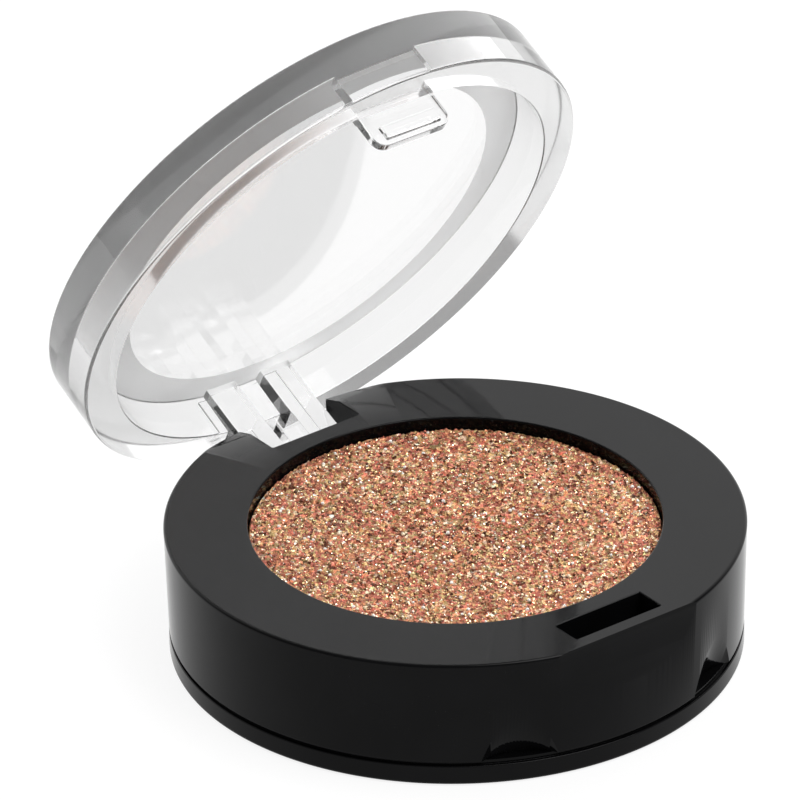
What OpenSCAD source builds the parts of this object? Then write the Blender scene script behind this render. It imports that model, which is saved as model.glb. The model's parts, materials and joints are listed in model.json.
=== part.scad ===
// Round single-shade eyeshadow compact: a black two-part base, a pressed
// powder cake in a metal pan, and a clear lid on a pinned hinge.
// Origin: centre of the underside. +Z is up, the latch is at -Y and the
// hinge at +Y. The lid stands at open_angle from closed.

/* [Base] */
// Diameter of the base at its top face
base_d = 38; // [36:0.5:40]
// Height of the base from its underside to its top face
base_h = 9; // [9:0.1:10]
// Difference in radius between the top face and the lower edge
base_draft = 0.22; // [0:0.02:0.3]
// Thickness of the outer wall
wall_t = 1.6; // [1.5:0.05:1.7]
// Thickness of the top face
deck_t = 1.2; // [1:0.1:1.5]
// Radius of the rounded outer edge of the top face
edge_r = 0.2; // [0.1:0.05:0.3]

/* [Pan well] */
// Diameter of the well that takes the pan
well_d = 27; // [26:0.1:27.2]
// Depth of the well below the top face
well_depth = 4.6; // [4.4:0.1:4.8]
// Thickness of the well's wall and floor
well_t = 1.1; // [0.9:0.1:1.2]

/* [Bottom cover] */
// Height of the cover's visible edge
cover_h = 1.7; // [1.6:0.05:1.9]
// Thickness of the cover's plate
cover_t = 1.15; // [1:0.05:1.3]
// Depth of the groove between cover and base wall
groove_depth = 0.25; // [0.15:0.05:0.35]
// Height of the snap ring above the cover's edge
snap_h = 1.4; // [1.2:0.1:1.4]

/* [Pan, powder and label] */
// Diameter of the metal pan
pan_d = 26.7; // [25.6:0.1:26.8]
// Thickness of the pan's sheet
pan_t = 0.3; // [0.2:0.05:0.4]
// Thickness of the glue under the pan
glue_t = 0.15; // [0.1:0.05:0.2]
// Depth of the powder's surface below the top face
powder_drop = 0.8; // [0.6:0.05:1]
// Height of the powder above the pan's rim
powder_over = 0.25; // [0.15:0.05:0.3]
// Diameter of the label on the underside
label_d = 30.6; // [24:0.2:31]
// Thickness of the label
label_t = 0.15; // [0.1:0.05:0.2]

/* [Lid] */
// Diameter of the lid at its rim
lid_d = 38.1; // [36:0.1:40]
// Height of the lid
lid_h = 4.6; // [4.4:0.1:5]
// Thickness of the clear top panel
panel_t = 1.5; // [1.4:0.05:1.6]
// Diameter of the flat window in the panel
window_d = 27.8; // [26:0.2:29]
// Extra thickness of the window, on the inside
window_t = 0.36; // [0.04:0.04:0.4]
// Width of the flat rim
rim_w = 2.4; // [2.2:0.05:2.6]
// Distance that the inner wall leans in from rim to panel
inner_lean = 0.1; // [0:0.05:0.2]
// Gap between the closed rim and the top face
lid_gap = 0.08; // [0.05:0.01:0.12]
// Opening angle that the lid stands at
open_angle = 63.5; // [0:0.5:100]

/* [Hinge] */
// Distance of the hinge axis inside the base's rear edge
hinge_in = 1.75; // [1.7:0.05:1.8]
// Depth of the hinge axis below the top face
hinge_drop = 3.7; // [3.6:0.05:3.8]
// Diameter of the steel pin
pin_d = 1.5; // [1.2:0.1:1.6]
// Length of the steel pin
pin_l = 12.4; // [11:0.2:12.6]
// Width of the notch for the lid's lugs
notch_w = 7.1; // [7:0.1:7.4]
// Width across both lugs
lugs_w = 6.7; // [6.4:0.1:6.7]
// Gap between the two lugs
lug_gap = 2.1; // [1.6:0.1:2.4]
// Radius of the lugs' round ends
knuckle_r = 2; // [1.8:0.05:2]
// Radial clearance of the lugs on the pin
pin_clear = 0.05; // [0.02:0.01:0.08]
// Slope of the relief behind the hinge axis
relief_angle = 17; // [15:1:20]

/* [Latch] */
// Width of the latch slot
slot_w = 6.9; // [6.7:0.1:7.2]
// Size of the slot from front to back
slot_l = 2.26; // [2.2:0.02:2.4]
// Distance of the slot's front wall from the base's front edge
slot_in = 1.8; // [1.7:0.05:1.9]
// Depth of the slot
slot_depth = 3.4; // [3:0.1:3.6]
// Width of the lid's tongue
tongue_w = 6; // [5.6:0.1:6.2]
// Thickness of the tongue
tongue_t = 0.7; // [0.6:0.05:0.8]
// Length of the tongue below the rim
tongue_l = 2.45; // [2.2:0.05:2.7]
// Radius of the tongue's lower corners
tongue_r = 0.9; // [0.5:0.1:1.2]
// Radius of the snap bead's round edges
bead_r = 0.3; // [0.2:0.05:0.3]
// Height of the snap bead
bead_h = 1.1; // [0.8:0.1:1.2]

/* [Finger and tool scoops] */
// Depth of the front finger scoop at the top face
thumb_cut = 0.85; // [0.6:0.05:1]
// Height of the front finger scoop
thumb_h = 3.7; // [3:0.1:4.2]
// Radius of the front finger scoop's hollow
thumb_r = 9; // [7:0.5:12]
// Angle of each lower scoop from the front
scoop_angle = 25; // [20:1:30]
// Half width of each lower scoop at the wall's lower edge
scoop_w = 2.85; // [2.2:0.05:3]
// Height of each lower scoop
scoop_h = 2.9; // [2.4:0.1:3.4]
// Depth of each lower scoop at the wall's lower edge
scoop_depth = 1; // [0.8:0.05:1.2]

/* [Hidden] */
$fn = 128;
SMALL_FN = 48;
BEAD_FN = 16;
CUT = 0.5;
FILLET_STEPS = 4;

base_r = base_d / 2;
foot_r = base_r - base_draft;
inner_r = foot_r - wall_t;
well_r = well_d / 2;
cup_r = well_r + well_t;
floor_z = base_h - well_depth;
under_z = floor_z - well_t;

snap_r = inner_r - 0.05;
snap_t = 0.95;
snap_bead_z = cover_h + snap_h / 2;
snap_bead_r = 0.2;
snap_bead_gap = 0.02;
groove_h = 0.3;
foot_edge = 0.25;
block_gap = 0.3;
label_gap = 0.1;

pan_r = pan_d / 2;
pan_z = floor_z + glue_t;
powder_z = base_h - powder_drop;
pan_top_z = powder_z - powder_over;
pan_corner = 0.3;
powder_gap = 0.06;
powder_edge = 0.1;
glue_d = 0.75 * pan_d;

rim_z = base_h + lid_gap;
lid_r = lid_d / 2;
lid_draft = 0.06;
lid_top_r = lid_r - lid_draft;
lid_top_z = rim_z + lid_h;
panel_z = lid_top_z - panel_t;
window_z = panel_z - window_t;
rim_inner_r = lid_r - rim_w;
panel_r = rim_inner_r - inner_lean;
lid_edge = 0.1;

hinge_y = base_r - hinge_in;
hinge_z = base_h - hinge_drop;
lug_front_gap = 0.25;
lug_floor_gap = 0.15;
lug_step = 0.2;
notch_y = hinge_y - knuckle_r - lug_front_gap;
notch_floor_z = hinge_z - knuckle_r - lug_floor_gap;
block_floor_t = 1.15;
block_in = 0.2;
block_w = 2 * (sqrt(base_r * base_r - hinge_y * hinge_y) - block_in);
lug_rear_r = base_r - 0.05;
lug_front_y = hinge_y - knuckle_r + lug_step;
pin_press = 0.01;
pin_chamfer = 0.2;

slot_y = -(base_r - slot_in);
slot_floor_z = base_h - slot_depth;
pocket_t = 1;
catch_top = 0.5;
catch_h = 0.35;
catch_reach = 0.5;
bead_gap_y = 0.15;
bead_gap_z = 0.1;
tongue_y = slot_y + catch_reach + bead_r + bead_gap_y;
bead_l = 4.4;
bead_z = base_h - catch_top - catch_h - bead_gap_z - bead_h / 2;

// Points of a quarter circle about (r, z), from angle a0 to a0 + 90
function quarter(r, z, rad, a0) = [
    for (i = [0 : FILLET_STEPS])
        let (a = a0 + 90 * i / FILLET_STEPS)
        [r + rad * cos(a), z + rad * sin(a)]
];

// Bar with its length along X, centred on the origin
module bar_x(r, l) {
    rotate([0, 90, 0]) cylinder(r = r, h = l, center = true, $fn = SMALL_FN);
}

// Upright outline in the Y-Z plane, given as [y, z], with a width along X
module plate_x(points, x0, x1) {
    translate([x0, 0, 0]) rotate([90, 0, 90]) linear_extrude(height = x1 - x0) polygon(points);
}

// Turns its children about the hinge axis from closed to the angle a
module opened(a) {
    translate([0, hinge_y, hinge_z])
        rotate([-a, 0, 0])
        translate([0, -hinge_y, -hinge_z])
        children();
}

// Round ring about Z at the height of the cover's snap bead
module snap_ring(ring_r, r) {
    translate([0, 0, snap_bead_z])
        rotate_extrude()
        translate([ring_r, 0])
        circle(r = r, $fn = BEAD_FN);
}

// ---- Base body -------------------------------------------------------

module base_outline() {
    rotate_extrude() polygon(concat(
        [[0, under_z], [cup_r, under_z], [cup_r, base_h - deck_t], [inner_r, base_h - deck_t]],
        [[inner_r, cover_h], [foot_r, cover_h]],
        quarter(base_r - edge_r, base_h - edge_r, edge_r, 0),
        [[0, base_h]]
    ));
}

module hinge_block() {
    intersection() {
        translate([-block_w / 2, notch_y - pocket_t, notch_floor_z - block_floor_t])
            cube([block_w, base_r, base_h - deck_t / 2 - notch_floor_z + block_floor_t]);
        cylinder(r = foot_r - CUT, h = base_h);
    }
}

module latch_pocket() {
    translate([-slot_w / 2 - pocket_t, slot_y - pocket_t, slot_floor_z - pocket_t])
        cube([slot_w + 2 * pocket_t, slot_l + 2 * pocket_t - CUT, slot_depth + pocket_t - deck_t / 2]);
}

module hinge_notch() {
    translate([-notch_w / 2, notch_y, notch_floor_z]) cube([notch_w, base_r, base_h]);
}

// Flat that clears the lid's rim while it swings about the hinge
module rear_relief() {
    relief_h = 2;
    translate([0, hinge_y, base_h])
        rotate([-relief_angle, 0, 0])
        translate([-base_r, 0, 0])
        cube([base_d, base_r, relief_h]);
}

module latch_slot() {
    difference() {
        translate([-slot_w / 2, slot_y, slot_floor_z]) cube([slot_w, slot_l, slot_depth + CUT]);
        translate([-bead_l / 2, slot_y - CUT, base_h - catch_top - catch_h])
            cube([bead_l, catch_reach + CUT, catch_h]);
    }
}

// Hollow under the lid's front rim, where a fingertip lifts the lid
module thumb_scoop() {
    slope = atan(thumb_cut / thumb_h);
    half_chord = norm([thumb_cut, thumb_h]) / 2;
    reach = sqrt(thumb_r * thumb_r - half_chord * half_chord);
    mid_y = -base_r + thumb_cut / 2;
    mid_z = base_h - thumb_h / 2;
    translate([0, mid_y - reach * cos(slope), mid_z + reach * sin(slope)])
        bar_x(thumb_r, base_d);
}

// Leaning cylinder that bites scoop_depth into the wall's lower edge and runs out at scoop_h
module pry_scoop(side) {
    cutter_r = (scoop_w * scoop_w + scoop_depth * scoop_depth) / (2 * scoop_depth);
    lean = atan(scoop_depth / scoop_h);
    axis_r = foot_r + cutter_r / cos(lean) - scoop_depth;
    rotate([0, 0, side * scoop_angle])
        translate([0, -axis_r, cover_h])
        rotate([lean, 0, 0])
        cylinder(r = cutter_r, h = 4 * scoop_h, center = true);
}

module base_body() {
    color([0.09, 0.09, 0.1])
    difference() {
        union() {
            base_outline();
            hinge_block();
            latch_pocket();
        }
        translate([0, 0, floor_z]) cylinder(r = well_r, h = base_h);
        hinge_notch();
        rear_relief();
        latch_slot();
        thumb_scoop();
        for (side = [-1, 1]) pry_scoop(side);
        translate([0, hinge_y, hinge_z]) bar_x(pin_d / 2 + pin_press, base_d);
        snap_ring(inner_r, snap_bead_r + snap_bead_gap);
    }
}

// ---- Bottom cover ----------------------------------------------------

module bottom_cover() {
    color([0.06, 0.06, 0.065])
    difference() {
        union() {
            rotate_extrude() polygon([
                [0, label_t],
                [label_d / 2 + label_gap, label_t],
                [label_d / 2 + label_gap, 0],
                [foot_r - foot_edge, 0],
                [foot_r, foot_edge],
                [foot_r, cover_h - groove_h],
                [foot_r - groove_depth, cover_h - groove_h],
                [foot_r - groove_depth, cover_h],
                [snap_r, cover_h],
                [snap_r, cover_h + snap_h],
                [snap_r - snap_t, cover_h + snap_h],
                [snap_r - snap_t, label_t + cover_t],
                [0, label_t + cover_t],
            ]);
            snap_ring(snap_r, snap_bead_r);
        }
        translate([-block_w / 2 - block_gap, 0, cover_h])
            cube([block_w + 2 * block_gap, base_r, base_h]);
    }
}

// ---- Hinge pin -------------------------------------------------------

module hinge_pin() {
    end_r = pin_d / 2 - pin_chamfer;
    color("silver")
    translate([-pin_l / 2, hinge_y, hinge_z])
    rotate([0, 90, 0])
    rotate_extrude($fn = SMALL_FN)
    polygon([
        [0, 0],
        [end_r, 0],
        [pin_d / 2, pin_chamfer],
        [pin_d / 2, pin_l - pin_chamfer],
        [end_r, pin_l],
        [0, pin_l],
    ]);
}

// ---- Pan, glue, powder and label -------------------------------------

module pan() {
    inner = pan_r - pan_t;
    color("gainsboro")
    rotate_extrude() polygon([
        [0, pan_z],
        [pan_r - pan_corner, pan_z],
        [pan_r, pan_z + pan_corner],
        [pan_r, pan_top_z],
        [inner, pan_top_z],
        [inner, pan_z + pan_t + pan_corner / 2],
        [inner - pan_corner / 2, pan_z + pan_t],
        [0, pan_z + pan_t],
    ]);
}

module pan_glue() {
    color("ivory") translate([0, 0, floor_z]) cylinder(d = glue_d, h = glue_t);
}

// Pressed cake that fills the pan and covers its rim
module powder() {
    inner = pan_r - pan_t;
    over_r = well_r - powder_gap;
    color([0.72, 0.48, 0.36])
    rotate_extrude() polygon([
        [0, pan_z + pan_t],
        [inner - pan_corner / 2, pan_z + pan_t],
        [inner, pan_z + pan_t + pan_corner / 2],
        [inner, pan_top_z],
        [over_r, pan_top_z],
        [over_r, powder_z - powder_edge],
        [over_r - powder_edge, powder_z],
        [0, powder_z],
    ]);
}

module base_label() {
    color("whitesmoke") cylinder(d = label_d, h = label_t);
}

// ---- Lid -------------------------------------------------------------

module lid_shell() {
    rotate_extrude() polygon(concat(
        [[0, window_z], [window_d / 2, window_z], [panel_r, panel_z]],
        [[rim_inner_r, rim_z], [lid_r, rim_z]],
        quarter(lid_top_r - lid_edge, lid_top_z - lid_edge, lid_edge, 0),
        [[0, lid_top_z]]
    ));
}

// Solid between the two faces of the lugs, seen from the side
module lug(x0, x1) {
    intersection() {
        union() {
            plate_x(
                [
                    [lug_front_y, panel_z + CUT],
                    [lug_front_y, rim_z],
                    [hinge_y - knuckle_r, hinge_z],
                    [hinge_y, hinge_z],
                    [base_r, hinge_z],
                    [base_r, panel_z + CUT],
                ],
                x0, x1
            );
            translate([(x0 + x1) / 2, hinge_y, hinge_z]) bar_x(knuckle_r, x1 - x0);
        }
        cylinder(r = lug_rear_r, h = 2 * lid_top_z);
    }
}

// Tongue outline in the X-Z plane, with round lower corners
module tongue() {
    low_z = rim_z - tongue_l;
    top_z = panel_z + CUT;
    corner_x = tongue_w / 2 - tongue_r;
    corner_z = low_z + tongue_r;
    translate([0, tongue_y + tongue_t, 0])
    rotate([90, 0, 0])
    linear_extrude(height = tongue_t) {
        translate([-tongue_w / 2, corner_z]) square([tongue_w, top_z - corner_z]);
        translate([-corner_x, low_z]) square([2 * corner_x, 2 * tongue_r]);
        for (side = [-1, 1])
            translate([side * corner_x, corner_z]) circle(r = tongue_r, $fn = SMALL_FN);
    }
    translate([-tongue_w / 2, -rim_inner_r - CUT, rim_z])
        cube([tongue_w, tongue_y + tongue_t + rim_inner_r + CUT, top_z - rim_z]);
    for (side = [-1, 1])
        translate([0, tongue_y, bead_z + side * (bead_h / 2 - bead_r)]) bar_x(bead_r, bead_l);
    translate([-bead_l / 2, tongue_y - bead_r, bead_z - bead_h / 2 + bead_r])
        cube([bead_l, bead_r + tongue_t / 2, bead_h - 2 * bead_r]);
}

module lid() {
    color([0.85, 0.87, 0.88, 0.35])
    opened(open_angle)
    difference() {
        union() {
            lid_shell();
            lug(lug_gap / 2, lugs_w / 2);
            lug(-lugs_w / 2, -lug_gap / 2);
            tongue();
        }
        translate([0, hinge_y, hinge_z]) bar_x(pin_d / 2 + pin_clear, base_d);
    }
}

base_body();
bottom_cover();
hinge_pin();
pan();
pan_glue();
powder();
base_label();
lid();
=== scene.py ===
import bmesh
import bpy
import json
import math
import random
from mathutils import Matrix, Vector, kdtree, noise


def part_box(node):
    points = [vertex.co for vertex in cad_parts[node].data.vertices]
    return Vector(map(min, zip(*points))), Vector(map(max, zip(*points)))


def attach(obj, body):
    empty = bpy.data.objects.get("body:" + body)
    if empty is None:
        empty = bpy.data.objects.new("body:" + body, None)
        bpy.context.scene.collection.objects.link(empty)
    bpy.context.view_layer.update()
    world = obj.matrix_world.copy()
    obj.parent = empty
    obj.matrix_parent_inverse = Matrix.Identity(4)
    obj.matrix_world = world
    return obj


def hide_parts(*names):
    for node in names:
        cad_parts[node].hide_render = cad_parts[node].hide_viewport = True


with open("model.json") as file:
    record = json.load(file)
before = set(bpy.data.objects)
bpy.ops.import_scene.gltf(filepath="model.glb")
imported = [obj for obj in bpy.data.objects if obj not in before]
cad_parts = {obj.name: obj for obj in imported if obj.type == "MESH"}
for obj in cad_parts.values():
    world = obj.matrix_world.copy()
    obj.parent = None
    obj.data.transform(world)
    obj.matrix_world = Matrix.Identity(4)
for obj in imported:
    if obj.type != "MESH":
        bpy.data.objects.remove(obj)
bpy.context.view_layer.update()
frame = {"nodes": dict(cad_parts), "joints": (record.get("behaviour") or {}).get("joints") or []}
MM = 0.001
rng = random.Random(11)

# ---------------------------------------------------------------- sizes
# Metres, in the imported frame. Sizes that the frame can't give are written in mm.

body_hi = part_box("base_body")[1]
cover_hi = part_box("bottom_cover")[1]
pin_lo, pin_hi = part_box("hinge_pin")
powder_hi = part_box("powder")[1]
label_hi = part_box("base_label")[1]
HINGE_JOINT = frame["joints"][0]
HINGE = Vector(HINGE_JOINT["pos_m"])
OPEN_ANGLE = math.radians(-HINGE_JOINT["range_deg"][0])

# Base: DECK is its top face, COVER_Z the height of the seam with the bottom cover
DECK_Z = body_hi.z
DECK_T = 1.2 * MM
BASE_R = body_hi.x
FOOT_R = cover_hi.x
COVER_Z = 1.7 * MM
WALL_T = 1.6 * MM
INNER_R = FOOT_R - WALL_T
WELL_R = powder_hi.x + 0.06 * MM
WELL_T = 1.1 * MM
WELL_FLOOR_Z = DECK_Z - 4.6 * MM
WELL_CORNER = 0.2 * MM
WELL_FILLET = 0.3 * MM
WALL_FILLET = 0.2 * MM
FOOT_EDGE = 0.08 * MM
INNER_EDGE = 0.1 * MM
DECK_EDGE = 0.22 * MM
WELL_EDGE = 0.12 * MM
CUT_EDGE = 0.06 * MM
BASE_SEGMENTS = 480

# Bottom cover
GROOVE_H = 0.3 * MM
GROOVE_DEPTH = 0.25 * MM
LABEL_GAP = 0.1 * MM
SNAP_GAP = 0.05 * MM
SNAP_T = 0.95 * MM
SNAP_H = 1.4 * MM
COVER_T = 1.15 * MM
COVER_EDGE = 0.28 * MM
BLOCK_GAP = 0.1 * MM
COVER_SEGMENTS = 288

# Hinge: PIN_REACH is half the base's width along the pin's axis
PIN_R = (pin_hi.z - pin_lo.z) / 2
PIN_REACH = math.sqrt(BASE_R ** 2 - HINGE.y ** 2)
EAR_CLEAR = 0.01 * MM
LUG_CLEAR = 0.05 * MM
KNUCKLE_R = 2 * MM
NOTCH_W = 7.1 * MM
NOTCH_Y = HINGE.y - KNUCKLE_R - 0.25 * MM
NOTCH_FLOOR_Z = HINGE.z - KNUCKLE_R - 0.15 * MM
NOTCH_CORNER = 0.15 * MM
BLOCK_IN = 0.5 * MM
BLOCK_SIDE = 0.2 * MM
BLOCK_FRONT = 1 * MM
BLOCK_FLOOR = 1.15 * MM
RELIEF = math.radians(17)
LUGS_W = 6.7 * MM
LUG_GAP = 2.1 * MM
LUG_FRONT_Y = HINGE.y - KNUCKLE_R + 0.2 * MM
LUG_REAR = 1.7 * MM
LUG_EDGE = 0.04 * MM

# Latch
SLOT_W = 6.9 * MM
SLOT_L = 2.26 * MM
SLOT_Y = 1.8 * MM - BASE_R
SLOT_DEPTH = 3.4 * MM
SLOT_CORNER = 0.12 * MM
POCKET_T = 1 * MM
POCKET_REAR_T = 0.5 * MM
CATCH_TOP = 0.5 * MM
CATCH_H = 0.35 * MM
CATCH_REACH = 0.5 * MM
CATCH_EDGE = 0.2 * MM
TONGUE_W = 6 * MM
TONGUE_T = 0.7 * MM
TONGUE_L = 2.45 * MM
TONGUE_CORNER = 0.9 * MM
TONGUE_EDGE = 0.14 * MM
BEAD_R = 0.3 * MM
BEAD_W = 4.4 * MM
BEAD_H = 1.1 * MM
BEAD_ROUND = 0.9 * BEAD_R
BEAD_EDGE = 0.12 * MM
BEAD_Z = DECK_Z - CATCH_TOP - CATCH_H - BEAD_H / 2 - 0.1 * MM
TONGUE_Y = SLOT_Y + CATCH_REACH + BEAD_R + 0.15 * MM

# Finger scoop and lower scoops
THUMB_CUT = 0.85 * MM
THUMB_H = 3.7 * MM
THUMB_R = 9 * MM
SCOOP_ANGLE = math.radians(25)
SCOOP_W = 2.85 * MM
SCOOP_H = 2.9 * MM
SCOOP_DEPTH = 1 * MM
THUMB_SEGMENTS = 360
SCOOP_SEGMENTS = 256

# Lid, in its closed place: PANEL is the inside of its top
LID_R = 19.05 * MM
LID_TOP_R = LID_R - 0.06 * MM
RIM_Z = DECK_Z + 0.08 * MM
LID_TOP_Z = RIM_Z + 4.6 * MM
LID_TOP_EDGE = 0.12 * MM
RIM_EDGE = 0.2 * MM
INSIDE_EDGE = 0.1 * MM
PANEL_Z = LID_TOP_Z - 1.5 * MM
RIM_IN_R = LID_R - 2.4 * MM
PANEL_R = RIM_IN_R - 0.1 * MM
WINDOW_R = 13.9 * MM
WINDOW_RISE = 0.36 * MM
LID_SEGMENTS = 360

# How far the lugs and the tongue reach into the lid, and the tongue's root above the rim
ROOT = 0.5 * MM
ROOT_RISE = 0.05 * MM

# Narrow rings beside the window's edge that keep both faces' shading flat
HOLD = 0.04 * MM

# Roughness added to the etched ring, the window and the rim's face
SATIN = 0.5
WINDOW_HAZE = 0.05
RIM_HAZE = 0.14

# How far above or below the rim's face a point still counts as part of it
RIM_BAND = 0.05 * MM

# Absorption per metre of the light's way through the lid
LID_DENSITY = 40

# ---------------------------------------------------------------- mesh tools


def rounded(points, radii, steps=5):
    """Closed outline with each corner replaced by an arc of its own radius."""
    out = []
    count = len(points)
    for i, (corner, radius) in enumerate(zip(points, radii)):
        corner = Vector(corner)
        if radius <= 0:
            out.append(corner)
            continue
        before = (Vector(points[i - 1]) - corner).normalized()
        after = (Vector(points[(i + 1) % count]) - corner).normalized()
        half = before.angle(after) / 2
        centre = corner + (before + after).normalized() * (radius / math.sin(half))
        start = corner + before * (radius / math.tan(half)) - centre
        end = corner + after * (radius / math.tan(half)) - centre
        turn = math.atan2(start.x * end.y - start.y * end.x, start.dot(end))
        for k in range(steps + 1):
            c, s = math.cos(turn * k / steps), math.sin(turn * k / steps)
            out.append(centre + Vector((start.x * c - start.y * s, start.x * s + start.y * c)))
    return out


def add_object(name, data):
    """Object in the scene for a mesh, camera or light."""
    obj = bpy.data.objects.new(name, data)
    bpy.context.scene.collection.objects.link(obj)
    return obj


def new_object(name, bm, sharp=35):
    """Smooth-shaded object from a bmesh, which is freed."""
    bmesh.ops.recalc_face_normals(bm, faces=bm.faces)
    mesh = bpy.data.meshes.new(name)
    bm.to_mesh(mesh)
    bm.free()
    obj = add_object(name, mesh)
    smooth(obj, sharp)
    return obj


def smooth(obj, sharp):
    """Smooth shading, except across edges sharper than the angle in degrees."""
    obj.data.shade_smooth()
    obj.data.set_sharp_from_angle(angle=math.radians(sharp))


def lathe(name, corners, segments):
    """Solid of revolution about Z. Each corner is ((radius, height), rounding), from axis to axis."""
    bm = bmesh.new()
    turn = 2 * math.pi / segments
    rings = []
    for r, z in rounded(*zip(*corners)):
        count = segments if r > 0 else 1
        ring = [(r * math.cos(k * turn), r * math.sin(k * turn), z) for k in range(count)]
        rings.append([bm.verts.new(point) for point in ring])
    for low, high in zip(rings, rings[1:]):
        for k in range(segments):
            m = (k + 1) % segments
            face = [low[k % len(low)], low[m % len(low)], high[m % len(high)], high[k % len(high)]]
            face = list(dict.fromkeys(face))
            if len(face) > 2:
                bm.faces.new(face)
    return new_object(name, bm)


def extrude(name, outline, start, end, axis):
    """Solid whose outline is (y, z) along X, (x, z) along Y or (x, y) along Z."""
    place = {
        "X": lambda p, d: (d, p[0], p[1]),
        "Y": lambda p, d: (p[0], d, p[1]),
        "Z": lambda p, d: (p[0], p[1], d),
    }[axis]
    bm = bmesh.new()
    near, far = [[bm.verts.new(place(p, d)) for p in outline] for d in (start, end)]
    bm.faces.new(near[::-1])
    bm.faces.new(far)
    for k in range(len(outline)):
        m = (k + 1) % len(outline)
        bm.faces.new([near[k], near[m], far[m], far[k]])
    return new_object(name, bm)


def rectangle(x0, x1, y0, y1):
    """Corners of a rectangle, anticlockwise from the lowest x and y."""
    return [(x0, y0), (x1, y0), (x1, y1), (x0, y1)]


def arc(centre, radius, start, end, steps):
    """Points on an arc between two angles in degrees."""
    angles = [math.radians(start + (end - start) * k / steps) for k in range(steps + 1)]
    return [(centre[0] + radius * math.cos(a), centre[1] + radius * math.sin(a)) for a in angles]


def circle(centre, radius, segments):
    """Points of a full circle."""
    return arc(centre, radius, 0, 360 - 360 / segments, segments - 1)


def bar(name, radius, x0, x1, y, z, segments=64):
    """Round bar along X."""
    return extrude(name, circle((y, z), radius, segments), x0, x1, "X")


def flared(name, outline, low, top, flare):
    """Upright cutter whose mouth widens by flare just under the height top."""
    mid = sum((Vector(p) for p in outline), Vector((0, 0))) / len(outline)

    def grown(p, by):
        return p[0] + math.copysign(by, p[0] - mid.x), p[1] + math.copysign(by, p[1] - mid.y)

    above = 2 * flare
    levels = ((low, 0), (top - flare, 0), (top + above, flare + above))
    bm = bmesh.new()
    loops = [[bm.verts.new((*grown(p, by), z)) for p in outline] for z, by in levels]
    bm.faces.new(loops[0][::-1])
    bm.faces.new(loops[-1])
    for under, over in zip(loops, loops[1:]):
        for k in range(len(outline)):
            m = (k + 1) % len(outline)
            bm.faces.new([under[k], under[m], over[m], over[k]])
    return new_object(name, bm)


def apply_modifiers(obj):
    """Swaps the object's mesh for the one that its modifiers make."""
    bpy.context.view_layer.update()
    graph = bpy.context.evaluated_depsgraph_get()
    mesh = bpy.data.meshes.new_from_object(obj.evaluated_get(graph))
    obj.modifiers.clear()
    old = obj.data
    obj.data = mesh
    bpy.data.meshes.remove(old)


def boolean(target, operation, *tools):
    """Adds each tool to the target or cuts it away, and removes the tool."""
    for tool in tools:
        mod = target.modifiers.new("boolean", "BOOLEAN")
        mod.operation = operation
        mod.solver = "EXACT"
        mod.object = tool
        apply_modifiers(target)
        bpy.data.objects.remove(tool)


def bevel(obj, width, segments=2, angle=40):
    """Rounds every edge that turns by more than the angle in degrees."""
    mod = obj.modifiers.new("bevel", "BEVEL")
    mod.width = width
    mod.segments = segments
    mod.limit_method = "ANGLE"
    mod.angle_limit = math.radians(angle)
    mod.miter_outer = "MITER_ARC"
    apply_modifiers(obj)


def level_shading(obj):
    """Lets large faces set the shading at their edges, so that walls shade flat beside bevels.

    The modifier needs face areas well above zero, so the mesh is in millimetres meanwhile.
    """
    obj.data.transform(Matrix.Scale(1 / MM, 4))
    mod = obj.modifiers.new("weighted", "WEIGHTED_NORMAL")
    mod.mode = "FACE_AREA"
    mod.keep_sharp = True
    apply_modifiers(obj)
    obj.data.transform(Matrix.Scale(MM, 4))


def finish_piece(obj, node, body, material, sharp=35):
    """Shading, material and place in the frame of a piece that stands for a CAD node."""
    smooth(obj, sharp)
    level_shading(obj)
    obj.data.materials.clear()
    obj.data.materials.append(material)
    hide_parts(node)
    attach(obj, body)


# ---------------------------------------------------------------- base body

def base_shell():
    """Outer wall, top face and well as one solid, before the cuts."""
    corners = [
        ((0, WELL_FLOOR_Z - WELL_T), 0),
        ((WELL_R + WELL_T, WELL_FLOOR_Z - WELL_T), WELL_FILLET),
        ((WELL_R + WELL_T, DECK_Z - DECK_T), WELL_FILLET),
        ((INNER_R, DECK_Z - DECK_T), WALL_FILLET),
        ((INNER_R, COVER_Z), INNER_EDGE),
        ((FOOT_R, COVER_Z), FOOT_EDGE),
        ((BASE_R, DECK_Z), DECK_EDGE),
        ((WELL_R, DECK_Z), WELL_EDGE),
        ((WELL_R, WELL_FLOOR_Z), WELL_CORNER),
        ((0, WELL_FLOOR_Z), 0),
    ]
    return lathe("base_shell", corners, BASE_SEGMENTS)


def hinge_block():
    """Solid between the base's rear wall and the well, which holds the pin's two ends."""
    reach = FOOT_R - BLOCK_IN
    half = PIN_REACH - BLOCK_SIDE
    side = math.degrees(math.acos(half / reach))
    front_y = NOTCH_Y - BLOCK_FRONT
    outline = [(-half, front_y), (half, front_y)] + arc((0, 0), reach, side, 180 - side, 24)
    return extrude("hinge_block", outline, NOTCH_FLOOR_Z - BLOCK_FLOOR, DECK_Z - DECK_T / 2, "Z")


def latch_pocket():
    """Solid under the top face that the latch slot is cut into."""
    half = SLOT_W / 2 + POCKET_T
    outline = rectangle(-half, half, SLOT_Y - POCKET_T, SLOT_Y + SLOT_L + POCKET_REAR_T)
    return extrude("latch_pocket", outline, DECK_Z - SLOT_DEPTH - POCKET_T, DECK_Z - DECK_T / 2, "Z")


def hinge_notch():
    """Cutter for the gap between the ears, open to the rear."""
    half = NOTCH_W / 2
    outline = rounded(rectangle(-half, half, NOTCH_Y, 2 * BASE_R), [NOTCH_CORNER, NOTCH_CORNER, 0, 0])
    return flared("notch_cut", outline, NOTCH_FLOOR_Z, DECK_Z, CUT_EDGE)


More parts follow.
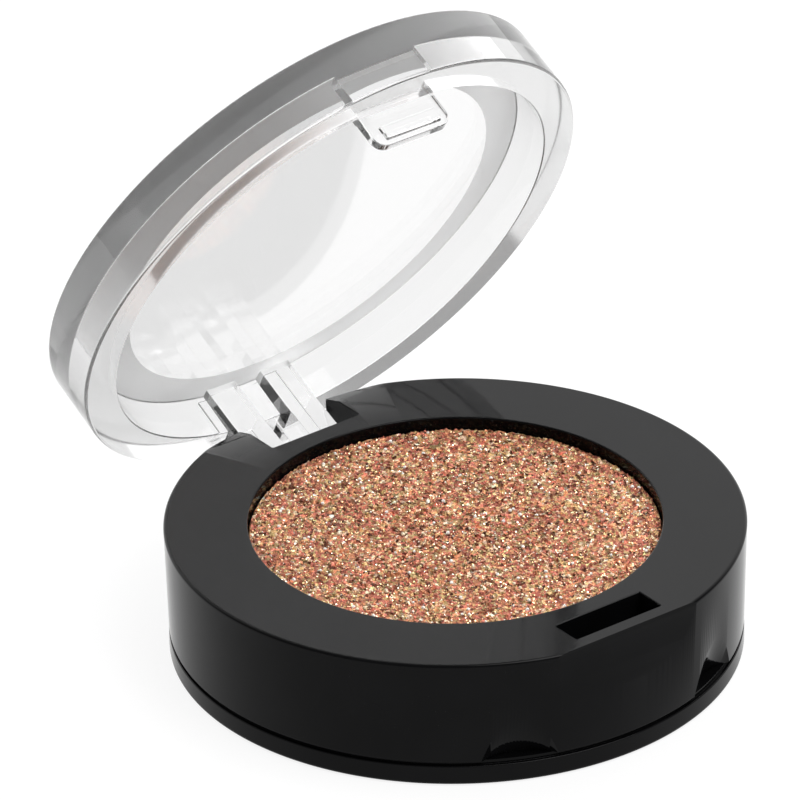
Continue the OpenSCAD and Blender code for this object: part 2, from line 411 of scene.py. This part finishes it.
def rear_relief():
    """Slope behind the hinge axis that clears the lid's rim while it swings."""
    end_y = HINGE.y + math.cos(RELIEF) * BASE_R
    end_z = DECK_Z - math.sin(RELIEF) * BASE_R
    outline = [(HINGE.y, DECK_Z), (end_y, end_z), (end_y, 2 * DECK_Z), (HINGE.y, 2 * DECK_Z)]
    return extrude("relief_cut", outline, -BASE_R, BASE_R, "X")


def latch_slot():
    """Cutter for the slot, less the catch that stays on its front wall."""
    half = SLOT_W / 2
    outline = rounded(rectangle(-half, half, SLOT_Y, SLOT_Y + SLOT_L), [SLOT_CORNER] * 4)
    slot = flared("slot_cut", outline, DECK_Z - SLOT_DEPTH, DECK_Z, CUT_EDGE)
    top = DECK_Z - CATCH_TOP
    catch = rectangle(SLOT_Y - POCKET_T, SLOT_Y + CATCH_REACH, top - CATCH_H, top)
    catch = rounded(catch, [0, CATCH_EDGE, CATCH_EDGE, 0])
    boolean(slot, "DIFFERENCE", extrude("catch", catch, -BEAD_W / 2, BEAD_W / 2, "X"))
    return slot


def thumb_scoop():
    """Hollow under the lid's front rim, where a fingertip lifts the lid."""
    slope = math.atan(THUMB_CUT / THUMB_H)
    reach = math.sqrt(THUMB_R ** 2 - (math.hypot(THUMB_CUT, THUMB_H) / 2) ** 2)
    y = -BASE_R + THUMB_CUT / 2 - reach * math.cos(slope)
    z = DECK_Z - THUMB_H / 2 + reach * math.sin(slope)
    return bar("thumb_cut", THUMB_R, -BASE_R, BASE_R, y, z, THUMB_SEGMENTS)


def pry_scoop(side):
    """Leaning cylinder that bites into the wall's lower edge and runs out higher up."""
    cutter_r = (SCOOP_W ** 2 + SCOOP_DEPTH ** 2) / (2 * SCOOP_DEPTH)
    lean = math.atan(SCOOP_DEPTH / SCOOP_H)
    outline = circle((0, 0), cutter_r, SCOOP_SEGMENTS)
    cutter = extrude("scoop_cut", outline, -2 * SCOOP_H, 2 * SCOOP_H, "Z")
    reach = FOOT_R + cutter_r / math.cos(lean) - SCOOP_DEPTH
    place = Matrix.Rotation(side * SCOOP_ANGLE, 4, "Z") @ Matrix.Translation((0, -reach, COVER_Z))
    cutter.data.transform(place @ Matrix.Rotation(lean, 4, "X"))
    return cutter


def make_base(material):
    """Upper black moulding with its notch, slot and scoops."""
    base = base_shell()
    boolean(base, "UNION", hinge_block(), latch_pocket())
    pin = bar("pin_cut", PIN_R + EAR_CLEAR, -BASE_R / 2, BASE_R / 2, HINGE.y, HINGE.z)
    boolean(base, "DIFFERENCE", hinge_notch(), rear_relief(), latch_slot(), thumb_scoop(), pin)
    boolean(base, "DIFFERENCE", pry_scoop(-1), pry_scoop(1))
    finish_piece(base, "base_body", "base", material)


# ---------------------------------------------------------------- bottom cover

def make_cover(material):
    """Lower black moulding: label recess, visible edge with its groove, and snap ring."""
    label_r = label_hi.x + LABEL_GAP
    snap_r = INNER_R - SNAP_GAP
    snap_in_r = snap_r - SNAP_T
    snap_top = COVER_Z + SNAP_H
    plate_z = label_hi.z + COVER_T
    groove_r = FOOT_R - GROOVE_DEPTH
    groove_z = COVER_Z - GROOVE_H
    corners = [
        ((0, label_hi.z), 0),
        ((label_r, label_hi.z), 0.03 * MM),
        ((label_r, 0), 0.06 * MM),
        ((FOOT_R, 0), COVER_EDGE),
        ((FOOT_R, groove_z), 0.08 * MM),
        ((groove_r, groove_z), 0.02 * MM),
        ((groove_r, COVER_Z), 0),
        ((snap_r, COVER_Z), 0),
        ((snap_r, snap_top), 0.12 * MM),
        ((snap_in_r, snap_top), 0.12 * MM),
        ((snap_in_r, plate_z), 0.3 * MM),
        ((0, plate_z), 0),
    ]
    cover = lathe("bottom_cover_shell", corners, COVER_SEGMENTS)
    half = PIN_REACH + BLOCK_GAP
    gap = extrude("block_cut", rectangle(-half, half, 0, BASE_R), COVER_Z, DECK_Z, "Z")
    boolean(cover, "DIFFERENCE", gap)
    finish_piece(cover, "bottom_cover", "base", material)


# ---------------------------------------------------------------- lid

def lid_shell():
    """Panel and skirt in the closed place, with the thicker window on the inside."""
    window_z = PANEL_Z - WINDOW_RISE
    slope = WINDOW_RISE / (PANEL_R - WINDOW_R)
    corners = [
        ((0, window_z), 0),
        ((WINDOW_R - HOLD, window_z), 0),
        ((WINDOW_R, window_z), 0),
        ((WINDOW_R + HOLD, window_z + HOLD * slope), 0),
        ((PANEL_R, PANEL_Z), INSIDE_EDGE),
        ((RIM_IN_R, RIM_Z), INSIDE_EDGE),
        ((LID_R, RIM_Z), RIM_EDGE),
        ((LID_TOP_R, LID_TOP_Z), LID_TOP_EDGE),
        ((0, LID_TOP_Z), 0),
    ]
    return lathe("clear_lid", corners, LID_SEGMENTS)


def lug(x0, x1):
    """One hinge lug: a flat plate from the lid's inner wall down to a round end on the pin."""
    rear_y = HINGE.y + LUG_REAR
    knuckle = arc((HINGE.y, HINGE.z), KNUCKLE_R, 180, 360, 24)
    outline = [
        (LUG_FRONT_Y, PANEL_Z + ROOT),
        (LUG_FRONT_Y, RIM_Z),
        *(point for point in knuckle if point[0] < rear_y),
        (rear_y, HINGE.z - math.sqrt(KNUCKLE_R ** 2 - LUG_REAR ** 2)),
        (rear_y, PANEL_Z + ROOT),
    ]
    piece = extrude("lug", outline, x0, x1, "X")
    bevel(piece, LUG_EDGE)
    return piece


def tongue():
    """Latch tongue with its root in the lid's front wall and the snap bead on its outer face."""
    half = TONGUE_W / 2
    top = PANEL_Z + ROOT
    rear_y = TONGUE_Y + TONGUE_T
    outline = rectangle(-half, half, RIM_Z - TONGUE_L, top)
    outline = rounded(outline, [TONGUE_CORNER, TONGUE_CORNER, 0, 0], 8)
    piece = extrude("tongue", outline, TONGUE_Y, rear_y, "Y")
    bevel(piece, TONGUE_EDGE, 3)
    foot = rectangle(-half, half, -RIM_IN_R - ROOT, rear_y)
    root = extrude("tongue_root", foot, RIM_Z + ROOT_RISE, top, "Z")
    low, high = BEAD_Z - BEAD_H / 2, BEAD_Z + BEAD_H / 2
    section = rectangle(TONGUE_Y - BEAD_R, TONGUE_Y + TONGUE_T / 2, low, high)
    section = rounded(section, [BEAD_ROUND, 0, 0, BEAD_ROUND], 8)
    bead = extrude("bead", section, -BEAD_W / 2, BEAD_W / 2, "X")
    bevel(bead, BEAD_EDGE, 3, 60)
    boolean(piece, "UNION", root, bead)
    return piece


def make_lid(material):
    """Clear moulding, built closed and then turned open about the hinge."""
    lid = lid_shell()
    boolean(lid, "UNION", lug(LUG_GAP / 2, LUGS_W / 2), lug(-LUGS_W / 2, -LUG_GAP / 2), tongue())
    bore = bar("bore_cut", PIN_R + LUG_CLEAR, -BASE_R / 2, BASE_R / 2, HINGE.y, HINGE.z)
    boolean(lid, "DIFFERENCE", bore)
    turn = Matrix.Translation(HINGE) @ Matrix.Rotation(-OPEN_ANGLE, 4, "X") @ Matrix.Translation(-HINGE)
    lid.data.transform(turn)
    finish_piece(lid, "lid", "cover_lid", material, 30)


# ---------------------------------------------------------------- powder

# Shimmer colours, linear, with how common each is. The pale cream colour is painted highlight on single
# grains. The dark brown is pigment specks, with its share raised to paint the shade between grains.
SHIMMER_AND_PAINTED_LIGHT = [
    ((0.44, 0.14, 0.095), 30),
    ((0.52, 0.22, 0.115), 27),
    ((0.54, 0.35, 0.165), 18),
    ((0.32, 0.225, 0.095), 6),
    # Dark brown: pigment specks, partly painted shade between grains
    ((0.12, 0.036, 0.016), 11),
    # Pale cream: painted highlight on single grains
    ((0.78, 0.54, 0.38), 9),
]
GRAIN_PITCH = 0.21 * MM
GRAIN_JITTER = 0.42
GRAIN_TILT = 0.3

# How strongly neighbours share a tone, and how much tone and brightness vary by themselves
CLUMPING = 1.1
CLUMP_SIZE = 0.8 * MM
TONE_SPREAD = 0.75
LIGHT_SPREAD = 0.36

# Cake surface: the size of its faces, its depth under the powder's top and its unevenness
CAKE_STEP = 0.065 * MM
CAKE_SPOKES = 720
CAKE_SINK = 0.05 * MM
CAKE_RELIEF = 0.04 * MM
CAKE_EDGE_DROP = 0.12 * MM
CAKE_SKIRT = 0.25 * MM
SWELL_SIZE = 3 * MM
SWELL_H = 0.03 * MM

# Crystals and beads: random sizes and heights are ranges in mm
CRYSTALS = 8000
CRYSTAL_MARGIN = 0.2 * MM
CRYSTAL_SIZES = (0.055, 0.105)
CRYSTAL_SINK = 0.04 * MM
CRYSTAL_LIFTS = (-0.03, 0.04)
CRYSTAL_COLOURS = [
    ((1.0, 0.90, 0.76), 16),
    ((1.0, 0.74, 0.42), 26),
    ((0.95, 0.52, 0.34), 28),
    ((0.80, 0.34, 0.24), 20),
    ((0.75, 0.60, 0.32), 10),
]
LARGE_BEADS = 170
LARGE_BEAD_MARGIN = 0.3 * MM
LARGE_BEAD_SIZES = (0.09, 0.14)
LARGE_BEAD_SINK = 0.01 * MM
# Near-white bead colours: painted glints
BEAD_PAINTED_GLINT_COLOURS = [((0.95, 0.92, 0.86), 3), ((0.95, 0.80, 0.58), 2)]


def shimmer_colour(x, y):
    """Grain colour, drawn towards its neighbours' so that tones gather in small clumps."""
    drift = noise.noise(Vector((x, y, 0)) / CLUMP_SIZE) * CLUMPING + rng.gauss(0, TONE_SPREAD)
    total = sum(share for _, share in SHIMMER_AND_PAINTED_LIGHT)
    pick = (0.5 + 0.5 * math.tanh(drift)) * total
    for colour, share in SHIMMER_AND_PAINTED_LIGHT:
        pick -= share
        if pick <= 0:
            break
    light = math.exp(rng.gauss(0, LIGHT_SPREAD))
    return [min(c * light, 0.95) for c in colour] + [1]


def scatter_grains(radius):
    """Grain centres on a jittered grid inside a circle."""
    points = []
    reach = int(radius / GRAIN_PITCH) + 2
    for i in range(-reach, reach + 1):
        for j in range(-reach, reach + 1):
            x = (i + 0.5 * (j % 2) + rng.uniform(-GRAIN_JITTER, GRAIN_JITTER)) * GRAIN_PITCH
            y = (j + rng.uniform(-GRAIN_JITTER, GRAIN_JITTER)) * GRAIN_PITCH
            if math.hypot(x, y) < radius + GRAIN_PITCH:
                points.append((x, y))
    return points


def random_spot(margin):
    """Point on the cake that is at least the margin away from its edge."""
    r = (powder_hi.x - margin) * math.sqrt(rng.random())
    a = rng.uniform(0, 2 * math.pi)
    return r * math.cos(a), r * math.sin(a)


def random_colour(table):
    """Colour from a table of colours and how common each is."""
    colours, shares = zip(*table)
    return (*rng.choices(colours, shares)[0], 1)


def coloured_object(name, verts, faces, shades):
    """Object with one colour for each corner of its faces, in the attribute "grain"."""
    mesh = bpy.data.meshes.new(name)
    mesh.from_pydata(verts, [], faces)
    layer = mesh.color_attributes.new("grain", "FLOAT_COLOR", "CORNER")
    layer.data.foreach_set("color", shades)
    return add_object(name, mesh)


def finish_powder(obj, material):
    """Material and body that the powder's three pieces share."""
    obj.data.materials.append(material)
    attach(obj, "base")


def make_powder(material):
    """Pressed cake whose top is broken into small tilted grain faces."""
    outer = powder_hi.x
    grains = scatter_grains(outer)
    tree = kdtree.KDTree(len(grains))
    for k, (x, y) in enumerate(grains):
        tree.insert((x, y, 0), k)
    tree.balance()
    tilts = []
    for _ in grains:
        tilts.append((rng.gauss(0, GRAIN_TILT), rng.gauss(0, GRAIN_TILT), rng.gauss(0, 1) * CAKE_RELIEF))
    colours = [shimmer_colour(x, y) for x, y in grains]

    rings = int(outer / CAKE_STEP)
    angles = [2 * math.pi * k / CAKE_SPOKES for k in range(CAKE_SPOKES)]
    verts = [(0, 0, powder_hi.z)]
    owner = [tree.find((0, 0, 0))[1]]
    for i in range(1, rings + 1):
        r = outer * i / rings
        drop = CAKE_EDGE_DROP if i == rings else 0
        for a in angles:
            x, y = r * math.cos(a), r * math.sin(a)
            nearest = tree.find((x, y, 0))[1]
            gx, gy = grains[nearest]
            tx, ty, lift = tilts[nearest]
            swell = noise.noise(Vector((x, y, 0)) / SWELL_SIZE) * SWELL_H
            z = powder_hi.z - CAKE_SINK + lift + swell + (x - gx) * tx + (y - gy) * ty - drop
            verts.append((x, y, z))
            owner.append(nearest)
    skirt = len(verts)
    verts.extend((outer * math.cos(a), outer * math.sin(a), powder_hi.z - CAKE_SKIRT) for a in angles)

    faces = [(0, 1 + k, 1 + (k + 1) % CAKE_SPOKES) for k in range(CAKE_SPOKES)]
    for inner in range(1, skirt, CAKE_SPOKES):
        following = inner + CAKE_SPOKES
        for k in range(CAKE_SPOKES):
            m = (k + 1) % CAKE_SPOKES
            faces.append((inner + k, following + k, following + m, inner + m))
    shades = [part for face in faces for part in colours[owner[face[0]]] * len(face)]
    faces.append(tuple(reversed(range(skirt, skirt + CAKE_SPOKES))))
    shades.extend((*SHIMMER_AND_PAINTED_LIGHT[0][0], 1) * CAKE_SPOKES)

    cake = coloured_object("powder_cake", verts, faces, shades)
    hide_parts("powder")
    finish_powder(cake, material)


def make_crystals(material):
    """Glitter: eight-sided crystals, half sunk in the cake and turned every way."""
    sides = [(0, 2, 4), (2, 1, 4), (1, 3, 4), (3, 0, 4), (2, 0, 5), (1, 2, 5), (3, 1, 5), (0, 3, 5)]
    tips = [Vector(t) for t in ((1, 0, 0), (-1, 0, 0), (0, 1, 0), (0, -1, 0), (0, 0, 1), (0, 0, -1))]
    verts, faces, shades = [], [], []
    for _ in range(CRYSTALS):
        x, y = random_spot(CRYSTAL_MARGIN)
        size = rng.uniform(*CRYSTAL_SIZES) * MM
        z = powder_hi.z - CRYSTAL_SINK + rng.uniform(*CRYSTAL_LIFTS) * MM
        turn = (
            Matrix.Translation((x, y, z))
            @ Matrix.Rotation(rng.uniform(0, 2 * math.pi), 4, "Z")
            @ Matrix.Rotation(rng.uniform(0, math.pi), 4, "X")
            @ Matrix.Diagonal((size, size * rng.uniform(0.7, 1), size * rng.uniform(0.6, 1), 1))
        )
        first = len(verts)
        verts.extend(turn @ tip for tip in tips)
        faces.extend(tuple(first + k for k in side) for side in sides)
        shades.extend(random_colour(CRYSTAL_COLOURS) * (3 * len(sides)))
    finish_powder(coloured_object("powder_glitter", verts, faces, shades), material)


def make_beads(material):
    """The largest glitter: sparse round beads half sunk in the cake, painted near white so that they show as
    bright glints.
    """
    bm = bmesh.new()
    layer = bm.loops.layers.float_color.new("grain")
    for _ in range(LARGE_BEADS):
        x, y = random_spot(LARGE_BEAD_MARGIN)
        place = Matrix.Translation((x, y, powder_hi.z - LARGE_BEAD_SINK))
        size = rng.uniform(*LARGE_BEAD_SIZES) * MM
        made = bmesh.ops.create_icosphere(bm, subdivisions=2, radius=size, matrix=place)
        shade = random_colour(BEAD_PAINTED_GLINT_COLOURS)
        for vert in made["verts"]:
            for loop in vert.link_loops:
                loop[layer] = shade
    finish_powder(new_object("powder_beads", bm, 60), material)


# ---------------------------------------------------------------- materials

class Nodes:
    """Material with a Principled shader, and short ways to add nodes to it."""

    def __init__(self, name, **values):
        self.material = bpy.data.materials.new(name)
        self.material.use_nodes = True
        self.tree = self.material.node_tree
        self.shader = self.tree.nodes["Principled BSDF"]
        for key, value in values.items():
            self.shader.inputs[key.replace("_", " ")].default_value = value

    def add(self, kind, **values):
        """New shader node, with its sockets or settings given by name."""
        node = self.tree.nodes.new("ShaderNode" + kind)
        for key, value in values.items():
            if key in node.inputs:
                node.inputs[key].default_value = value
            else:
                setattr(node, key, value)
        return node

    def link(self, out, into):
        self.tree.links.new(out, into)

    def noise(self, size, detail=2.0, stretch=(1, 1, 1)):
        """Noise whose patches are about size metres across, in object space."""
        coords = self.add("TexCoord")
        mapping = self.add("Mapping")
        mapping.inputs["Scale"].default_value = stretch
        texture = self.add("TexNoise", Scale=1 / size, Detail=detail)
        self.link(coords.outputs["Object"], mapping.inputs["Vector"])
        self.link(mapping.outputs["Vector"], texture.inputs["Vector"])
        return texture.outputs["Fac"]

    def ramp(self, value, low, high, at=(0.3, 0.7)):
        """Number or colour that goes from low to high while the value crosses the two positions."""
        ramp = self.add("ValToRGB")
        for element, place, colour in zip(ramp.color_ramp.elements, at, (low, high)):
            element.position = place
            element.color = (colour, colour, colour, 1) if isinstance(colour, (int, float)) else (*colour, 1)
        self.link(value, ramp.inputs["Fac"])
        return ramp.outputs["Color"]

    def set(self, socket, value):
        """Links a node's output to the shader's socket."""
        self.link(value, self.shader.inputs[socket])

    def bump(self, height, distance, strength=1.0, under=None):
        """Relief from a height, on top of the relief under it, linked to the shader."""
        node = self.add("Bump", Strength=strength, Distance=distance)
        self.link(height, node.inputs["Height"])
        if under:
            self.link(under, node.inputs["Normal"])
        self.set("Normal", node.outputs["Normal"])
        return node.outputs["Normal"]


def black_plastic(name, rough_low, rough_high):
    """Polished black moulding: faint waviness, hazier patches and hair-fine wiping marks."""
    mat = Nodes(name, IOR=1.18)
    mat.set("Base Color", mat.ramp(mat.noise(5 * MM), (0.0018, 0.0018, 0.002), (0.0032, 0.0032, 0.0035)))
    mat.set("Roughness", mat.ramp(mat.noise(2.5 * MM, 6), rough_low, rough_high))
    wave = mat.bump(mat.noise(7 * MM, 1), 0.004 * MM)
    mat.bump(mat.noise(0.25 * MM, 3, (1, 0.04, 1)), 0.0006 * MM, 0.5, wave)
    return mat.material


def closed_cylinder(mat):
    """Distance from the axis and height of a point of the lid, with the lid shut."""
    closed = mat.add("Mapping")
    turn = Matrix.Rotation(OPEN_ANGLE, 3, "X")
    closed.inputs["Rotation"].default_value = (OPEN_ANGLE, 0, 0)
    closed.inputs["Location"].default_value = HINGE - turn @ HINGE
    mat.link(mat.add("TexCoord").outputs["Object"], closed.inputs["Vector"])
    parts = mat.add("SeparateXYZ")
    mat.link(closed.outputs["Vector"], parts.inputs["Vector"])
    flat = mat.add("CombineXYZ")
    mat.link(parts.outputs["X"], flat.inputs["X"])
    mat.link(parts.outputs["Y"], flat.inputs["Y"])
    radius = mat.add("VectorMath", operation="LENGTH")
    mat.link(flat.outputs["Vector"], radius.inputs[0])
    return radius.outputs["Value"], parts.outputs["Z"]


def between(mat, value, low, high):
    """1 where the value lies from low to high, 0 elsewhere."""
    test = mat.add("Math", operation="COMPARE")
    test.inputs[1].default_value = (low + high) / 2
    test.inputs[2].default_value = (high - low) / 2
    mat.link(value, test.inputs[0])
    return test.outputs["Value"]


def product(mat, a, b):
    """a * b"""
    both = mat.add("Math", operation="MULTIPLY")
    mat.link(a, both.inputs[0])
    mat.link(b, both.inputs[1])
    return both.outputs["Value"]


def scaled_sum(mat, value, factor, rest):
    """value * factor + rest"""
    total = mat.add("Math", operation="MULTIPLY_ADD")
    total.inputs[1].default_value = factor
    mat.link(value, total.inputs[0])
    mat.link(rest, total.inputs[2])
    return total.outputs["Value"]


def clear_plastic():
    """Clear moulding that darkens with the length of the light's way through it."""
    mat = Nodes("clear_plastic", IOR=1.5)
    mat.shader.inputs["Base Color"].default_value = (1, 1, 1, 1)
    mat.shader.inputs["Transmission Weight"].default_value = 1
    polish = mat.ramp(mat.noise(3 * MM, 4), 0.0, 0.02)
    radius, height = closed_cylinder(mat)
    panel_level = between(mat, height, PANEL_Z - WINDOW_RISE * 1.5, PANEL_Z + WINDOW_RISE / 2)
    ring = product(mat, panel_level, between(mat, radius, WINDOW_R, PANEL_R))
    window = product(mat, panel_level, between(mat, radius, -WINDOW_R, WINDOW_R))
    rim = product(
        mat,
        between(mat, height, RIM_Z - RIM_BAND, RIM_Z + RIM_BAND),
        between(mat, radius, RIM_IN_R, LID_R),
    )
    haze = scaled_sum(mat, ring, SATIN, polish)
    haze = scaled_sum(mat, window, WINDOW_HAZE, haze)
    haze = scaled_sum(mat, rim, RIM_HAZE, haze)
    mat.set("Roughness", haze)
    mat.bump(mat.noise(9 * MM, 1), 0.01 * MM)
    volume = mat.add("VolumeAbsorption", Color=(0, 0, 0, 1), Density=LID_DENSITY)
    mat.link(volume.outputs["Volume"], mat.tree.nodes["Material Output"].inputs["Volume"])
    return mat.material


def shimmer(name, metallic, rough_low, rough_high):
    """Colour from each grain, with finer specks of light and dark pigment in it."""
    mat = Nodes(name, Metallic=metallic, IOR=1.3)
    grain = mat.add("VertexColor", layer_name="grain")
    specks = mat.ramp(mat.noise(0.09 * MM, 3), 0.48, 1.4, (0.35, 0.65))
    tint = mat.add("Mix", data_type="RGBA", blend_type="MULTIPLY")
    tint.inputs["Factor"].default_value = 1
    mat.link(grain.outputs["Color"], tint.inputs["A"])
    mat.link(specks, tint.inputs["B"])
    mat.set("Base Color", tint.outputs["Result"])
    mat.set("Roughness", mat.ramp(mat.noise(0.2 * MM, 2), rough_low, rough_high))
    mat.bump(mat.noise(0.07 * MM, 3), 0.01 * MM, 0.6)
    return mat.material


def brushed_steel():
    """Drawn wire: fine lines along the pin."""
    mat = Nodes("pin_steel", Metallic=1)
    lines = mat.noise(0.1 * MM, 4, (0.03, 1, 1))
    mat.set("Base Color", mat.ramp(lines, (0.42, 0.42, 0.43), (0.68, 0.68, 0.69)))
    mat.set("Roughness", mat.ramp(lines, 0.2, 0.42))
    mat.bump(lines, 0.004 * MM, 0.6)
    return mat.material


def pan_metal():
    """Pressed tinplate with rolling marks and dull patches."""
    mat = Nodes("pan_metal", Metallic=1)
    mat.set("Base Color", mat.ramp(mat.noise(2 * MM, 4), (0.55, 0.55, 0.56), (0.75, 0.75, 0.76)))
    mat.set("Roughness", mat.ramp(mat.noise(0.3 * MM, 3, (0.1, 1, 1)), 0.25, 0.45))
    mat.bump(mat.noise(0.3 * MM, 3, (0.1, 1, 1)), 0.003 * MM, 0.6)
    return mat.material


def dried_glue():
    """Dried adhesive: yellowish, uneven and patchy in gloss."""
    mat = Nodes("glue", IOR=1.47)
    mat.set("Base Color", mat.ramp(mat.noise(2 * MM, 4), (0.58, 0.5, 0.36), (0.78, 0.72, 0.58)))
    mat.set("Roughness", mat.ramp(mat.noise(1 * MM, 3), 0.3, 0.6))
    mat.bump(mat.noise(0.8 * MM, 3), 0.05 * MM, 0.8)
    return mat.material


def label_paper():
    """Blank label: matt film over paper fibres."""
    mat = Nodes("label_film", IOR=1.45)
    fibres = mat.noise(0.3 * MM, 6, (1, 0.5, 1))
    mat.set("Base Color", mat.ramp(fibres, (0.72, 0.72, 0.70), (0.84, 0.84, 0.82)))
    mat.set("Roughness", mat.ramp(mat.noise(1.5 * MM, 3), 0.45, 0.65))
    mat.bump(fibres, 0.004 * MM, 0.5)
    return mat.material


make_base(black_plastic("black_gloss", 0.05, 0.10))
make_cover(black_plastic("black_satin", 0.10, 0.18))
make_lid(clear_plastic())
make_powder(shimmer("shimmer_cake", 0.35, 0.35, 0.6))
make_crystals(shimmer("shimmer_glitter", 1.0, 0.18, 0.32))
make_beads(shimmer("shimmer_bead", 0.1, 0.15, 0.3))
for node, material in (
    ("hinge_pin", brushed_steel()),
    ("pan", pan_metal()),
    ("pan_glue", dried_glue()),
    ("base_label", label_paper()),
):
    part = frame["nodes"][node]
    part.data.materials.clear()
    part.data.materials.append(material)

# ---------------------------------------------------------------- stage

CAMERA_AIM = Vector((-0.0005, 0.0051, DECK_Z + 0.0068))
CAMERA_AZIMUTH = -36.98
CAMERA_ELEVATION = 29.14
CAMERA_ROLL = -0.906
CAMERA_DISTANCE = 0.8606
CAMERA_LENS = 595.6
CAMERA_CLIP = (0.01, 20)

# Floor, a little under the base so that the two faces never meet
FLOOR_HALF = 0.8
FLOOR_DROP = 0.05 * MM
FLOOR_GREY = (0.12, 0.12, 0.12, 1)
FLOOR_GLOW = 0.86

# Surround: direction of the bright backdrop, dim and bright level, and where one fades into the other
BACKDROP = Vector((0.42, 0.8, 0.42)).normalized()
BACKDROP_LEVELS = (0.36, 1.95)
BACKDROP_FADE = (0.3, 0.8)

KEY_AT = Vector((0.1, -0.25, 0.45))
KEY_TOWARDS = Vector((0, 0, 0.01))
KEY_SIZE = 0.35
KEY_POWER = 2.2


def make_camera():
    """Long lens, aimed from the front left and above."""
    data = bpy.data.cameras.new("camera")
    data.lens = CAMERA_LENS
    data.clip_start, data.clip_end = CAMERA_CLIP
    cam = add_object("camera", data)
    a, e = math.radians(CAMERA_AZIMUTH), math.radians(CAMERA_ELEVATION)
    back = Vector((math.sin(a) * math.cos(e), -math.cos(a) * math.cos(e), math.sin(e)))
    right = Vector((math.cos(a), math.sin(a), 0))
    up = back.cross(right)
    axes = Matrix((right, up, back)).transposed().to_4x4()
    place = Matrix.Translation(CAMERA_AIM + back * CAMERA_DISTANCE)
    cam.matrix_world = place @ axes @ Matrix.Rotation(math.radians(CAMERA_ROLL), 4, "Z")
    bpy.context.scene.camera = cam


def make_key_light():
    """Soft light from above, in front and a little to the right."""
    data = bpy.data.lights.new("key", "AREA")
    data.size = KEY_SIZE
    data.energy = KEY_POWER
    key = add_object("key", data)
    key.location = KEY_AT
    key.rotation_euler = (KEY_TOWARDS - KEY_AT).to_track_quat("-Z", "Y").to_euler()


def make_floor():
    """Floor that glows nearly white, with a dark surface so that shadows on it stay faint."""
    bm = bmesh.new()
    corners = rectangle(-FLOOR_HALF, FLOOR_HALF, -FLOOR_HALF, FLOOR_HALF)
    bm.faces.new([bm.verts.new((x, y, 0)) for x, y in corners])
    floor = new_object("floor", bm)
    floor.location.z = -FLOOR_DROP
    mat = Nodes("floor", Roughness=0.9, Base_Color=FLOOR_GREY)
    mat.shader.inputs["Emission Color"].default_value = (1, 1, 1, 1)
    mat.shader.inputs["Emission Strength"].default_value = FLOOR_GLOW
    floor.data.materials.append(mat.material)


def make_world():
    """Studio surround: a bright backdrop behind the object that falls off to dim sides and ceiling."""
    world = bpy.data.worlds.new("studio")
    bpy.context.scene.world = world
    world.use_nodes = True
    tree = world.node_tree
    coords = tree.nodes.new("ShaderNodeTexCoord")
    facing = tree.nodes.new("ShaderNodeVectorMath")
    facing.operation = "DOT_PRODUCT"
    facing.inputs[1].default_value = BACKDROP
    ramp = tree.nodes.new("ShaderNodeValToRGB")
    for element, place, level in zip(ramp.color_ramp.elements, BACKDROP_FADE, BACKDROP_LEVELS):
        element.position = place
        element.color = (level, level, level, 1)
    tree.links.new(coords.outputs["Generated"], facing.inputs[0])
    tree.links.new(facing.outputs["Value"], ramp.inputs["Fac"])
    tree.links.new(ramp.outputs["Color"], tree.nodes["Background"].inputs["Color"])


make_camera()
make_floor()
make_world()
make_key_light()
scene = bpy.context.scene
scene.view_settings.view_transform = "Standard"
scene.cycles.max_bounces = 24
scene.cycles.transmission_bounces = 24
scene.cycles.glossy_bounces = 8
